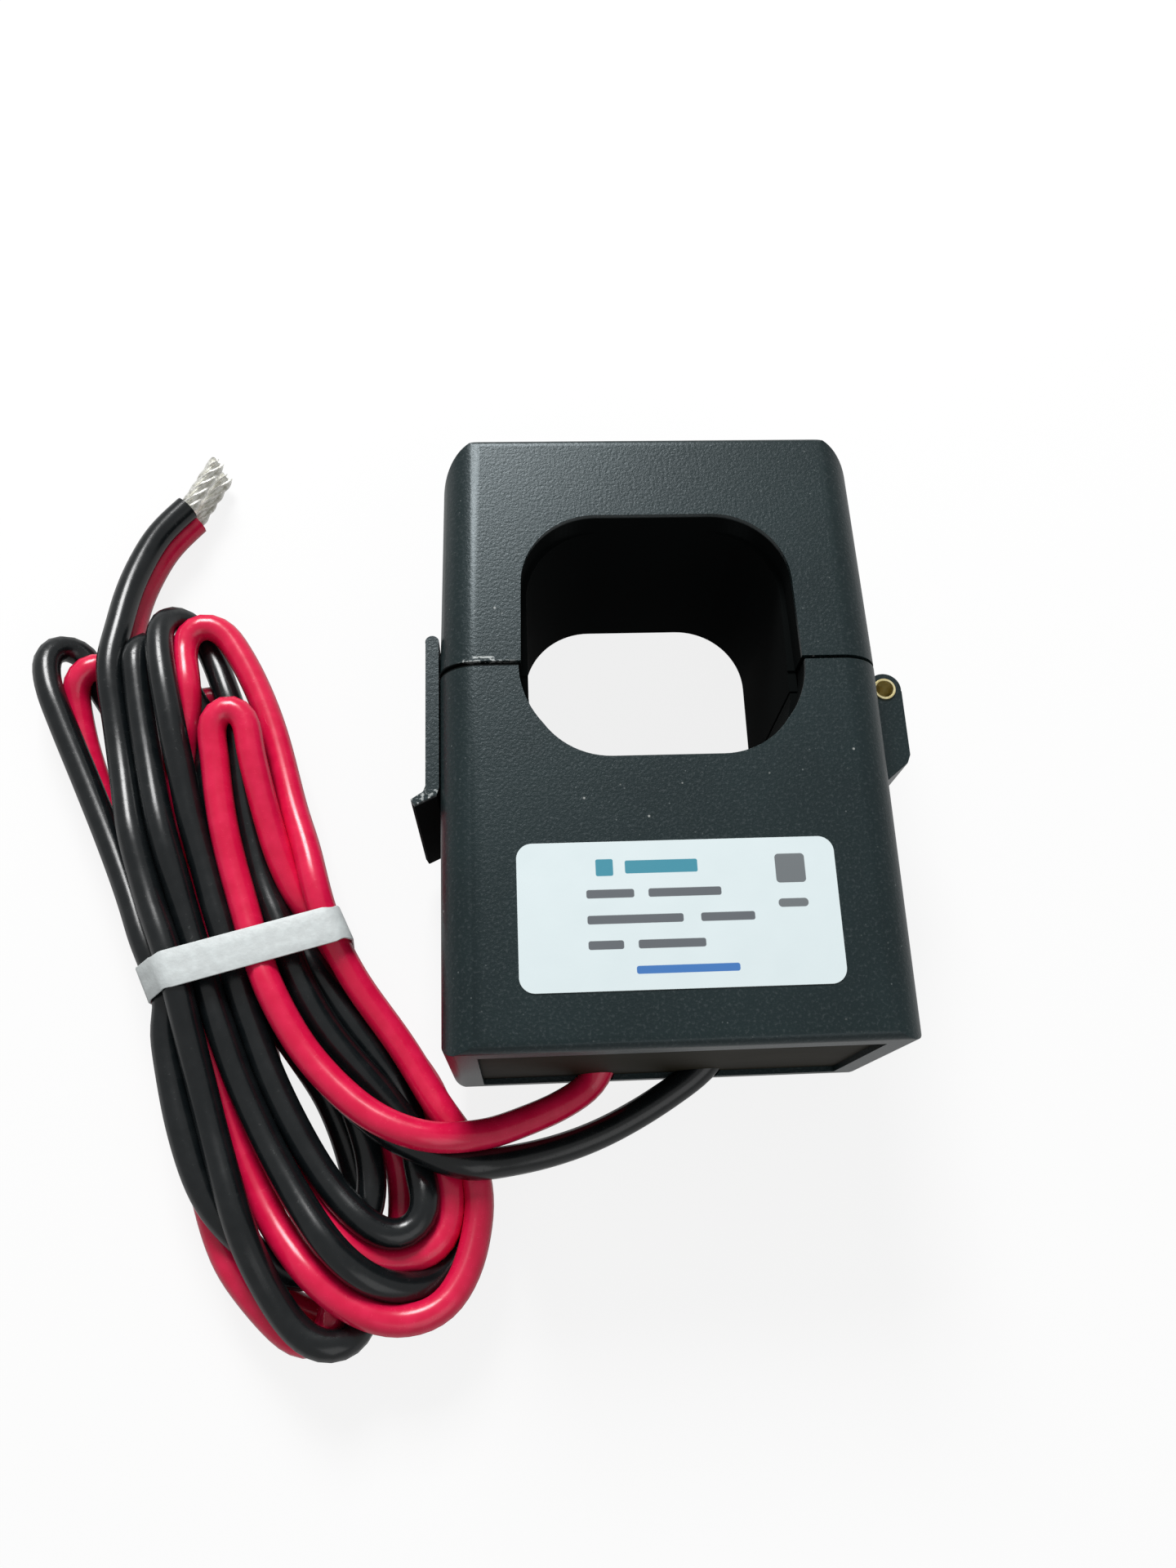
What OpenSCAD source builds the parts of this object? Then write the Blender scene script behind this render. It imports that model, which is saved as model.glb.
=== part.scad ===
// Split-core current transformer: a lower case with the winding and two leads, and a
// hinged lid that closes the core around a conductor. It lies on its back:
// +X to the hinge, +Y to the lid, +Z out of the labelled face, z = 0 at the back.

/* [Case] */
// Width of the case across the window
body_w = 60; // [56:0.5:70]
// Depth of the case from back to labelled face
body_d = 37; // [34:0.5:44]
// Height of the lower case below the parting line
lower_h = 51; // [48:0.5:64]
// Height of the lid above the parting line
lid_h = 35.5; // [34.5:0.5:44]
// Gap between lid and lower case when shut
split_gap = 0.5; // [0.3:0.05:0.8]
// Draft of the lid's sides, in degrees
lid_draft = 1.3; // [0:0.1:1.8]
// Rounding of the long upright edges
edge_r = 5.4; // [3:0.2:6]
// Rounding of the lid's two top corners
lid_corner_r = 7; // [4:0.5:8]
// Rounding of the two bottom corners
foot_corner_r = 1.8; // [1:0.1:3]
// Small rounding of the top and bottom edges
rim_r = 1.6; // [0.8:0.1:2.2]

/* [Window] */
// Clear width of the conductor window
win_w = 36; // [32:0.5:38]
// Window height above the parting line
win_top = 22.6; // [20:0.2:24]
// Window height below the parting line
win_bottom = 13.4; // [12:0.2:15]
// Corner radius of the window
win_r = 10.7; // [6:0.1:11.5]
// Depth of the wider mouth behind the labelled face
mouth_depth = 5; // [3:0.5:6]
// How far the mouth in the lower case stands outside the window, each side
mouth_lower = 1.3; // [0.6:0.1:1.5]
// How far the mouth in the lid stands outside the window, each side
mouth_lid = 1; // [0.6:0.1:1.5]
// Length of the lid's lining that reaches below the parting line
tongue_drop = 2.5; // [1.5:0.1:3.5]
// Thickness of that lining
tongue_t = 1.2; // [0.9:0.1:1.3]

/* [Core] */
// Thickness of the core strip
core_t = 4.6; // [3.6:0.1:4.8]
// Depth of the lower core below the parting line
core_drop = 34; // [32:0.5:36]
// Air gap between each pair of pole faces
pole_gap = 0.1; // [0.05:0.05:0.3]
// Clearance of the core in its channel
core_fit = 0.2; // [0.1:0.05:0.3]
// Thickness of the foam pad behind the lid's core
pad_t = 1; // [0.6:0.1:1.5]

/* [Winding] */
// Wall of the bobbin
bobbin_wall = 1; // [0.8:0.1:1.3]
// Thickness of its end flanges
flange_t = 1.2; // [0.8:0.1:1.6]
// Clearance between its flanges and the core's legs
bobbin_room = 0.5; // [0.3:0.1:2]
// Clearance between the taped winding and the chamber's front and back
winding_room = 0.35; // [0.2:0.05:1]
// Build of copper on the bobbin
copper_t = 2.7; // [1.8:0.1:2.9]
// Thickness of the outer tape
tape_t = 0.2; // [0.1:0.05:0.3]

/* [Potting] */
// Width of the case's side rim at the bottom
rim_side = 4.4; // [4:0.1:4.8]
// Width of its front rim
rim_front = 4.8; // [3.6:0.1:5.2]
// Width of its back rim
rim_back = 3.4; // [3:0.1:4]
// Depth of the sealed face inside the rim
seal_recess = 0.8; // [0.4:0.1:1.5]
// Thickness of the poured seal
seal_t = 5; // [4:0.1:5.2]

/* [Hinge] */
// Outer diameter of the brass tube pin
pin_d = 3.2; // [2.6:0.1:3.4]
// Wall of the tube
pin_wall = 0.35; // [0.25:0.05:0.6]
// Distance of the pin from the case's side
pin_out = 3.2; // [3:0.1:3.6]
// Diameter of the knuckles
knuckle_d = 4.9; // [4.7:0.1:5.3]
// Length of the row of knuckles
hinge_l = 15.1; // [12:0.5:20]
// Gap between neighbouring knuckles
knuckle_gap = 0.15; // [0.1:0.05:0.3]
// Radial running clearance of the lid on the pin
pin_fit = 0.05; // [0.02:0.01:0.1]
// How far the hinge block stands off the case
block_out = 5.7; // [5.6:0.1:6.4]
// Height of the hinge block's straight face
block_h = 10.9; // [8:0.5:14]

/* [Latch] */
// Width of the latch clip
latch_w = 28; // [20:1:29]
// Thickness of the clip
latch_t = 1.8; // [1.4:0.1:2.2]
// Reach of the clip above the parting line
latch_up = 6.6; // [5.6:0.2:10]
// Reach of its straight part below the parting line
latch_down = 15.6; // [15:0.2:18]
// How far the finger lip stands off the case
lip_out = 3.9; // [3.4:0.1:5]
// Clearance between clip and case
latch_fit = 0.15; // [0.1:0.05:0.25]
// Height of the catch that the clip snaps over
catch_out = 1.3; // [0.8:0.1:1.5]

/* [Label] */
// Width of the label
label_w = 40.5; // [30:0.5:44]
// Height of the label
label_h = 19; // [12:0.5:24]
// Distance of the label's centre below the parting line
label_drop = 34.6; // [30:0.2:37]
// Corner radius of the label
label_r = 2; // [0.5:0.1:4]
// Thickness of the label
label_t = 0.15; // [0.05:0.05:0.3]

/* [Leads] */
// Diameter of the insulated leads
lead_d = 4.2; // [3.4:0.1:4.4]
// Diameter of the tinned strands
strand_d = 2.4; // [1.6:0.1:2.8]
// Length of the tinned ends
tinned_l = 9.5; // [5:0.5:14]
// Width of the binding band
band_w = 5.2; // [3:0.2:8]
// Thickness of the binding band
band_t = 0.8; // [0.4:0.1:1.2]

/* [Hidden] */
$fn = 64;

past = 1;                    // overrun of a cut past a face
half_w = body_w / 2;
mid_z = (rim_back + body_d - rim_front) / 2;   // middle of the chamber, core and bobbin
reach_right = half_w + block_out;
reach_left = half_w + lip_out;
// The part's origin is the bottom centre of its box without the leads
origin_x = (reach_right - reach_left) / 2;
origin_y = (lid_h - lower_h) / 2;

// Core and the channels that hold it
leg_out = half_w - rim_side - core_fit;
leg_in = leg_out - core_t;
chamber_d = body_d - rim_front - rim_back;
bobbin_fit = 0.15;
core_d = chamber_d - 2 * (winding_room + tape_t + copper_t + bobbin_wall + bobbin_fit);
bobbin_l = 2 * (leg_in - bobbin_room);
core_r = 4;
core_inner_r = 1.5;
pole_y = pole_gap / 2;
channel_z = mid_z - core_d / 2 - core_fit;
channel_d = core_d + 2 * core_fit;
lid_cover = 4.4;
lid_core_top = lid_h - lid_cover - pad_t;
pad_inset = 3;
window_shelf = 2.6;
chamber_top = -(win_bottom + window_shelf);
yoke_y = -core_drop + core_t / 2;

// Bobbin and winding, as sections around the yoke
tube_y = core_t + 2 * (bobbin_fit + bobbin_wall);
tube_z = core_d + 2 * (bobbin_fit + bobbin_wall);
wound_y = tube_y + 2 * copper_t;
wound_z = tube_z + 2 * copper_t;
taped_y = wound_y + 2 * tape_t;
taped_z = wound_z + 2 * tape_t;
wound_r = 2;
winding_play = 0.1;
winding_l = bobbin_l - 2 * flange_t - winding_play;
bobbin_r = 0.5;
flange_stand_y = 0.4;
flange_stand_z = 0.1;

// Hinge
pin_x = half_w + pin_out;
knuckle_r = knuckle_d / 2;
knuckle_n = 5;
knuckle_l = (hinge_l - (knuckle_n - 1) * knuckle_gap) / knuckle_n;
hinge_z = body_d / 2 - hinge_l / 2;
hinge_relief = 0.3;
pin_stub = 0.3;
block_top = 0.8;             // outer face of the hinge block, up from its chamfer
block_chamfer = 0.5;
block_tip = 0.4;
block_slope = 4.6;
web_room = 0.1;
web_foot = 0.9;
web_h = 6.6;

// Lid's lining and its seats in the lower case
seat_fit = 0.3;
seat_foot = 0.4;
seat_back = 0.9;
tongue_back = 1.2;
tongue_z = body_d - mouth_depth - seat_fit;
mouth_fit = 0.1;

// Latch
clip_x = half_w + latch_fit;
clip_z = body_d / 2 - latch_w / 2;
catch_w = latch_w / 2;
catch_y = -13.1;
catch_rise = 3.3;
catch_land = 0.7;
slot_head = 0.6;
slot_room = 0.3;
bead_proud = 0.05;
bead_end = 0.2;
bead_x = clip_x + latch_t / 2;
bead_y = latch_up - latch_t / 2;
peg_d = 2.4;
lip_bend = 0.3;              // profile of the finger lip, below the straight part
lip_step = 0.5;
lip_back = 1.6;
lip_drop = 2.4;
peg_fit = 0.2;
peg_y = 4.2;
peg_off = latch_w / 2 - 4;
peg_sunk = 0.3;

// Leads: hand-set routes, x and y from the window's centre at the parting line
lead_r = lead_d / 2;
sleeve_rest = 0.5;
sleeve_cover = 0.4;
sleeve_z = rim_back + lead_r + sleeve_rest;
sleeve_y = seal_recess + seal_t + sleeve_cover - lower_h;
sleeve_l = 5.2;
sleeve_wall = 0.2;
red_in = -7.5;
black_in = 9;
winding_end_d = 1;
notch_z = 3.7;
notch_fit = 0.4;
notch_l = 14;
red_notch = [-9.2, -49.6];
red_notch_turn = -22;
black_notch = [6, -49.6];
black_notch_turn = -42;
red_route = [[red_in, sleeve_y, sleeve_z], [-8.2, -47.8, 5.1], [-9.8, -51, 3.8], [-12.4, -53.5, 3],
             [-16, -55.3, 2.6], [-20.4, -56.8, 3.4], [-25, -57.8, 5], [-29.5, -58.2, 7]];
black_route = [[black_in, sleeve_y, sleeve_z], [7.8, -47.8, 5.1], [5, -50.7, 3.9], [1, -53.4, 3],
               [-4, -56.2, 2.4], [-9.6, -58.8, 2.2], [-15.2, -60.6, 2.3], [-21, -61.8, 3.6],
               [-27.5, -62.2, 6.2]];
tail_red_route = [[-79.4, 14, 5], [-79.6, 20, 3.6], [-79.2, 27, 2.4], [-77.4, 33.4, 2.2],
                  [-74.6, 38.4, 2.2], [-71.4, 42.6, 2.2]];
tail_black_route = [[-81.6, 14, 9], [-81.8, 20, 7.6], [-81.2, 28, 6.1], [-79.2, 34.9, 5.9],
                    [-76.4, 39.8, 5.9], [-73, 43.8, 5.9]];
tip_dir = [0.45, 0.893, 0];
route_steps = 2;

// Hank: two round ends and a waist where the band binds it
hank_low = [-44.5, -66.5];
hank_high = [-77, 6];
hank_low_r = 19;
hank_high_r = 17;
hank_waist = 15.5;
hank_waist_at = 0.48;
hank_h = 12.6;
band_r = 1.2;
hank_run = norm(hank_high - hank_low);
hank_turn = atan2(hank_high.y - hank_low.y, hank_high.x - hank_low.x);

SHELL = [0.14, 0.17, 0.17];
COPPER = [0.72, 0.4, 0.2];
TINNED = [0.75, 0.76, 0.76];
STEEL = [0.55, 0.56, 0.58];
RED = [0.75, 0.05, 0.16];
BLACK = [0.06, 0.07, 0.07];

// ---- Shared forms ----

// Moves a sub-part from the window's centre to the part's origin
module place() { translate([-origin_x, -origin_y, 0]) children(); }

// Flat rectangle from corner lo to corner hi with round corners
module rounded(lo, hi, r) {
    translate([lo.x + r, lo.y]) square([hi.x - lo.x - 2 * r, hi.y - lo.y]);
    translate([lo.x, lo.y + r]) square([hi.x - lo.x, hi.y - lo.y - 2 * r]);
    for (x = [lo.x + r, hi.x - r], y = [lo.y + r, hi.y - r]) translate([x, y]) circle(r);
}

// Arch that stands on the parting line, with drafted sides and round top corners
module arch(half, top, r, foot) {
    lean = tan(lid_draft);
    cy = top - r;
    cx = half - cy * lean - r / cos(lid_draft);
    tx = cx + r * cos(lid_draft);
    ty = cy + r * sin(lid_draft);
    side = half - foot * lean;
    polygon([[-side, foot], [side, foot], [tx, ty], [cx, cy], [cx, top], [-cx, top],
             [-cx, cy], [-tx, ty]]);
    for (s = [-1, 1]) translate([s * cx, cy]) circle(r);
}

// Extrudes a flat XZ shape along Y, from y = -l to 0
module along_y(l) { rotate([90, 0, 0]) linear_extrude(l) children(); }

// Extrudes a flat YZ shape along X, centred
module along_x(l) { rotate([90, 0, 90]) linear_extrude(l, center = true) children(); }

// Section of the case with its round upright edges
module case_section(half) { rounded([-half, 0], [half, body_d], edge_r); }

// Closed C of core strip, cut by the caller at the pole faces
module core_ring(top) {
    difference() {
        rounded([-leg_out, -top], [leg_out, top], core_r);
        rounded([-leg_in, core_t - top], [leg_in, top - core_t], core_inner_r);
    }
}

// Straight round bar along Y, downwards from the point at
module bar_y(at, r, l) { translate(at) rotate([90, 0, 0]) cylinder(r = r, h = l); }

// ---- Case ----

module lower_form() {
    intersection() {
        linear_extrude(body_d)
            intersection() {
                rounded([-half_w, -lower_h], [half_w, lower_h], foot_corner_r);
                translate([-body_w, -lower_h - past]) square([2 * body_w, lower_h + past]);
            }
        along_y(lower_h) case_section(half_w);
        along_x(body_w + 2 * past) rounded([-lower_h, 0], [lower_h, body_d], rim_r);
    }
}

// Hinge block in outline: straight outer face, sloping back to the case below
module block_outline() {
    polygon([[half_w - past, -hinge_relief], [pin_x, -hinge_relief],
             [reach_right, -hinge_relief], [reach_right, block_top - block_h],
             [reach_right - block_chamfer, -block_h - block_tip],
             [half_w, -block_h - block_slope],
             [half_w - past, -block_h - block_slope]]);
    translate([pin_x, 0]) circle(knuckle_r);
}

// Every second knuckle slot, counted from the back, starting at first
module knuckle_slots(first, grow = 0) {
    for (k = [first : 2 : knuckle_n - 1])
        translate([0, 0, hinge_z + k * (knuckle_l + knuckle_gap) - grow])
            linear_extrude(knuckle_l + 2 * grow) children();
}

module hinge_block() {
    difference() {
        translate([0, 0, hinge_z]) linear_extrude(hinge_l) block_outline();
        // room for the lid's knuckles and for their webs when the lid stands open
        knuckle_slots(1, knuckle_gap)
            union() {
                translate([pin_x, 0]) circle(knuckle_r + hinge_relief);
                translate([half_w, -hinge_relief]) square([2 * block_out, knuckle_d]);
                translate([pin_x, -knuckle_r - web_room]) square([block_out, knuckle_d]);
            }
        translate([pin_x, 0, 0]) cylinder(d = pin_d, h = body_d);
    }
}

module catch_ramp() {
    translate([0, 0, body_d / 2 - catch_w / 2]) linear_extrude(catch_w)
        polygon([[-half_w + past, catch_y], [-half_w - catch_out, catch_y],
                 [-half_w - catch_out, catch_y + catch_land], [-half_w, catch_y + catch_rise],
                 [-half_w + past, catch_y + catch_rise]]);
}

module lead_notch(at, turn) {
    translate([at.x, at.y, notch_z]) rotate([90, 0, turn])
        cylinder(r = lead_r + notch_fit, h = notch_l, center = true);
}

module lower_housing() color(SHELL) place() {
    difference() {
        union() {
            lower_form();
            hinge_block();
            catch_ramp();
        }
        // conductor window, its wider mouth and the seats for the lid's lining
        translate([0, 0, -past]) linear_extrude(body_d + 2 * past)
            rounded([-win_w / 2, -win_bottom], [win_w / 2, win_bottom + 2 * past], win_r);
        translate([0, 0, body_d - mouth_depth]) linear_extrude(mouth_depth + past)
            rounded([-win_w / 2 - mouth_lower, -win_bottom],
                    [win_w / 2 + mouth_lower, win_bottom + 2 * past],
                    win_bottom - mouth_fit);
        translate([-win_w / 2 - tongue_t - seat_fit, -tongue_drop - seat_foot, seat_back])
            cube([win_w + 2 * (tongue_t + seat_fit), win_bottom,
                  body_d - mouth_depth - seat_back]);
        // winding chamber, open at the bottom
        translate([-leg_out - core_fit, -lower_h - past, rim_back])
            cube([2 * (leg_out + core_fit), lower_h + past + chamber_top,
                  chamber_d]);
        // channels for the core's legs
        for (s = [-1, 1])
            translate([s * (leg_in + leg_out) / 2, chamber_top / 2, channel_z + channel_d / 2])
                cube([core_t + 2 * core_fit, -chamber_top + 2 * past, channel_d],
                     center = true);
        // notches where the leads cross the back rim
        lead_notch(red_notch, red_notch_turn);
        lead_notch(black_notch, black_notch_turn);
    }
}

// Drafted side with its round upright edges, on the hinge side
module lid_side() {
    translate([half_w, 0, 0]) rotate([0, 0, lid_draft])
        translate([-half_w, lid_h + 2 * past, 0])
            along_y(lid_h + 4 * past) rounded([-2 * half_w, 0], [half_w, body_d], edge_r);
}

module lid_form() {
    intersection() {
        along_x(body_w + 2 * past) rounded([-lid_h, 0], [lid_h, body_d], rim_r);
        lid_side();
        mirror([1, 0, 0]) lid_side();
        linear_extrude(body_d) arch(half_w, lid_h, lid_corner_r, split_gap);
    }
}

module upper_housing() color(SHELL) place() {
    difference() {
        union() {
            lid_form();
            // lining that crosses the parting line on both sides of the window
            for (s = [-1, 1])
                translate([s * (win_w + tongue_t) / 2, (split_gap + past - tongue_drop) / 2,
                           (tongue_back + tongue_z) / 2])
                    cube([tongue_t, tongue_drop + split_gap + past, tongue_z - tongue_back],
                         center = true);
            lid_knuckles();
            latch_pegs();
        }
        translate([0, 0, -past]) linear_extrude(body_d + 2 * past)
            rounded([-win_w / 2, -win_top], [win_w / 2, win_top], win_r);
        translate([0, 0, body_d - mouth_depth]) linear_extrude(mouth_depth + past)
            arch(win_w / 2 + mouth_lid, win_top, win_r, -past);
        // channel for the core and its pad
        difference() {
            translate([-leg_out - core_fit, -past, channel_z])
                cube([2 * (leg_out + core_fit), lid_core_top + pad_t + past, channel_d]);
            linear_extrude(body_d)
                rounded([core_fit - leg_in, -lid_core_top],
                        [leg_in - core_fit, lid_core_top - core_t - core_fit], core_inner_r);
        }
    }
}

module lid_knuckles() {
    difference() {
        knuckle_slots(1)
            union() {
                translate([pin_x, 0]) circle(knuckle_r);
                polygon([[half_w - past, split_gap], [half_w + web_foot, split_gap], [pin_x, 0],
                         [pin_x + knuckle_r * cos(60), knuckle_r * sin(60)],
                         [half_w - past, split_gap + web_h]]);
            }
        translate([pin_x, 0, 0]) cylinder(r = pin_d / 2 + pin_fit, h = body_d);
    }
}

// Two pegs that carry the latch clip
module latch_pegs() {
    for (s = [-1, 1])
        translate([-clip_x - latch_t + peg_sunk, peg_y, body_d / 2 + s * peg_off])
            rotate([0, 90, 0]) cylinder(d = peg_d, h = latch_t + 2 * past);
}

module hinge_pin() color([0.78, 0.66, 0.36]) place() {
    translate([pin_x, 0, hinge_z - pin_stub])
        difference() {
            cylinder(d = pin_d, h = hinge_l + 2 * pin_stub);
            translate([0, 0, -past])
                cylinder(d = pin_d - 2 * pin_wall, h = hinge_l + 2 * (pin_stub + past));
        }
}

module latch_clip() color(SHELL) place() {
    outer = clip_x + latch_t;
    lip = reach_left;
    slot_low = catch_y - slot_room;
    slot_high = catch_y + catch_rise + slot_head;
    difference() {
        union() {
            translate([0, 0, clip_z]) linear_extrude(latch_w)
                polygon([[-clip_x, bead_y], [-clip_x, -latch_down],
                         [-clip_x - lip_bend, -latch_down - 2 * lip_step],
                         [lip_step - lip, -latch_down - lip_drop],
                         [-lip, -latch_down - lip_back],
                         [-outer - lip_bend, -latch_down - lip_step],
                         [-outer, -latch_down + lip_bend], [-outer, bead_y]]);
            translate([-bead_x, bead_y, clip_z + bead_end])
                cylinder(d = latch_t + 2 * bead_proud, h = latch_w - 2 * bead_end);
        }
        translate([-outer - past, slot_low, body_d / 2 - catch_w / 2 - slot_room])
            cube([latch_t + 2 * past, slot_high - slot_low, catch_w + 2 * slot_room]);
        for (s = [-1, 1])
            translate([-outer - past, peg_y, body_d / 2 + s * peg_off])
                rotate([0, 90, 0]) cylinder(d = peg_d + 2 * peg_fit, h = latch_t + 2 * past);
    }
}

module label() color([0.88, 0.93, 0.95]) place() {
    translate([0, -label_drop, body_d]) linear_extrude(label_t)
        rounded([-label_w / 2, -label_h / 2], [label_w / 2, label_h / 2], label_r);
}

// ---- Magnetic circuit ----

module lower_core() color(STEEL) place() {
    translate([0, 0, mid_z - core_d / 2]) linear_extrude(core_d)
        intersection() {
            core_ring(core_drop);
            translate([-body_w, -lower_h]) square([2 * body_w, lower_h - pole_y]);
        }
}

module upper_core() color(STEEL) place() {
    translate([0, 0, mid_z - core_d / 2]) linear_extrude(core_d)
        intersection() {
            core_ring(lid_core_top);
            translate([-body_w, pole_y]) square([2 * body_w, lid_h]);
        }
}

module core_pad() color([0.3, 0.3, 0.32]) place() {
    translate([-leg_out + pad_inset, lid_core_top, mid_z - core_d / 2])
        cube([2 * (leg_out - pad_inset), pad_t, core_d]);
}

// ---- Winding ----

// Rectangular tube section around the yoke, in YZ
module yoke_section(outer_y, outer_z, r, inner_y, inner_z) {
    difference() {
        rounded([yoke_y - outer_y / 2, mid_z - outer_z / 2],
                [yoke_y + outer_y / 2, mid_z + outer_z / 2], r);
        translate([yoke_y - inner_y / 2, mid_z - inner_z / 2]) square([inner_y, inner_z]);
    }
}

module bobbin() color([0.85, 0.84, 0.78]) place() {
    bore_y = core_t + 2 * bobbin_fit;
    bore_z = core_d + 2 * bobbin_fit;
    along_x(bobbin_l) yoke_section(tube_y, tube_z, bobbin_r, bore_y, bore_z);
    for (s = [-1, 1])
        translate([s * (bobbin_l - flange_t) / 2, 0, 0])
            along_x(flange_t)
                yoke_section(taped_y + flange_stand_y, taped_z + flange_stand_z, wound_r,
                             bore_y, bore_z);
}

module secondary_winding() color(COPPER) place() {
    along_x(winding_l) yoke_section(wound_y, wound_z, wound_r, tube_y, tube_z);
}

module winding_tape() color([0.86, 0.78, 0.3]) place() {
    along_x(winding_l)
        difference() {
            rounded([yoke_y - taped_y / 2, mid_z - taped_z / 2],
                    [yoke_y + taped_y / 2, mid_z + taped_z / 2], wound_r + tape_t);
            rounded([yoke_y - wound_y / 2, mid_z - wound_z / 2],
                    [yoke_y + wound_y / 2, mid_z + wound_z / 2], wound_r);
        }
}

module winding_ends() color(COPPER) place() {
    tape_face = yoke_y - taped_y / 2;
    sleeve_top = sleeve_y + sleeve_l;
    for (x = [red_in, black_in])
        bar_y([x, tape_face, sleeve_z], winding_end_d / 2, tape_face - sleeve_top);
}

module splice_sleeve(x) { bar_y([x, sleeve_y + sleeve_l, sleeve_z], lead_r + sleeve_wall, sleeve_l); }

module splice_sleeve_red() color([0.8, 0.12, 0.2]) place() splice_sleeve(red_in);

module splice_sleeve_black() color(BLACK) place() splice_sleeve(black_in);

module potting_seal() color([0.1, 0.09, 0.08]) place() {
    translate([-leg_out - core_fit, -lower_h + seal_recess, rim_back])
        cube([2 * (leg_out + core_fit), seal_t, chamber_d]);
}

// ---- Leads ----

// Point on a smooth curve through p, between points k and k + 1
function smooth_point(p, k, t) =
    let(n = len(p) - 1, a = p[max(k - 1, 0)], b = p[k], c = p[min(k + 1, n)],
        d = p[min(k + 2, n)])
    0.5 * (2 * b + (c - a) * t + (2 * a - 5 * b + 4 * c - d) * t * t
           + (3 * b - a - 3 * c + d) * t * t * t);

function smooth_route(p) =
    [for (k = [0 : len(p) - 2], s = [0 : route_steps - 1]) smooth_point(p, k, s / route_steps),
     p[len(p) - 1]];

function unit(v) = v / norm(v);

// Closed tube of eight sides along a route
module tube(route, r) {
    p = smooth_route(route);
    n = len(p);
    sides = 8;
    ring = [for (i = [0 : n - 1])
        let(t = unit(p[min(i + 1, n - 1)] - p[max(i - 1, 0)]),
            side = unit(cross(t, [0, 0, 1])), up = cross(side, t))
        for (k = [0 : sides - 1])
            let(a = 360 * (k + 0.5) / sides) p[i] + r * (cos(a) * side + sin(a) * up)];
    wall = [for (i = [0 : n - 2], k = [0 : sides - 1])
        let(a = i * sides + k, b = i * sides + (k + 1) % sides)
        [a, b, b + sides, a + sides]];
    start = [for (k = [sides - 1 : -1 : 0]) k];
    end = [for (k = [0 : sides - 1]) (n - 1) * sides + k];
    polyhedron(points = ring, faces = concat(wall, [start], [end]), convexity = 4);
}

module lead_red() color(RED) place() tube(red_route, lead_r);

module lead_black() color(BLACK) place() tube(black_route, lead_r);

module tail_red() color(RED) place() tube(tail_red_route, lead_r);

module tail_black() color(BLACK) place() tube(tail_black_route, lead_r);

module tinned_end(route) {
    translate(route[len(route) - 1]) rotate([0, 0, atan2(tip_dir.y, tip_dir.x)])
        rotate([0, 90, 0]) cylinder(d = strand_d, h = tinned_l);
}

module tinned_end_red() color(TINNED) place() tinned_end(tail_red_route);

module tinned_end_black() color(TINNED) place() tinned_end(tail_black_route);

// Places a shape in the hank's own frame, +X from its low end to its high end
module in_hank() { translate(hank_low) rotate([0, 0, hank_turn]) children(); }

module lead_hank() color([0.3, 0.06, 0.1]) place() {
    waist = hank_run * hank_waist_at;
    in_hank() difference() {
        linear_extrude(hank_h) union() {
            polygon([[0, -hank_low_r], [waist - band_w, -hank_waist],
                     [waist + band_w, -hank_waist], [hank_run, -hank_high_r],
                     [hank_run, hank_high_r], [waist + band_w, hank_waist],
                     [waist - band_w, hank_waist], [0, hank_low_r]]);
            circle(hank_low_r);
            translate([hank_run, 0]) circle(hank_high_r);
        }
        translate([waist - band_w / 2, -body_w, -past]) cube([band_w, 2 * body_w, past + band_t]);
    }
}

module hank_band() color([0.93, 0.94, 0.94]) place() {
    in_hank() translate([hank_run * hank_waist_at, 0, 0]) along_x(band_w)
        difference() {
            rounded([-hank_waist - band_t, 0], [hank_waist + band_t, hank_h + band_t], band_r);
            translate([-hank_waist, band_t]) square([2 * hank_waist, hank_h - band_t]);
        }
}

lower_housing();
upper_housing();
lower_core();
upper_core();
core_pad();
bobbin();
secondary_winding();
winding_tape();
winding_ends();
splice_sleeve_red();
splice_sleeve_black();
potting_seal();
hinge_pin();
latch_clip();
label();
lead_red();
lead_black();
lead_hank();
tail_red();
tail_black();
tinned_end_red();
tinned_end_black();
hank_band();
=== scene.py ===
"""The looks of a hinged split-core current transformer with two leads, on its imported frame.

Lengths are in metres unless a name or a comment says millimetres. +X is the hinge side,
+Y the lid and +Z the labelled face; the transformer lies on its back.
"""
import math

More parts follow.
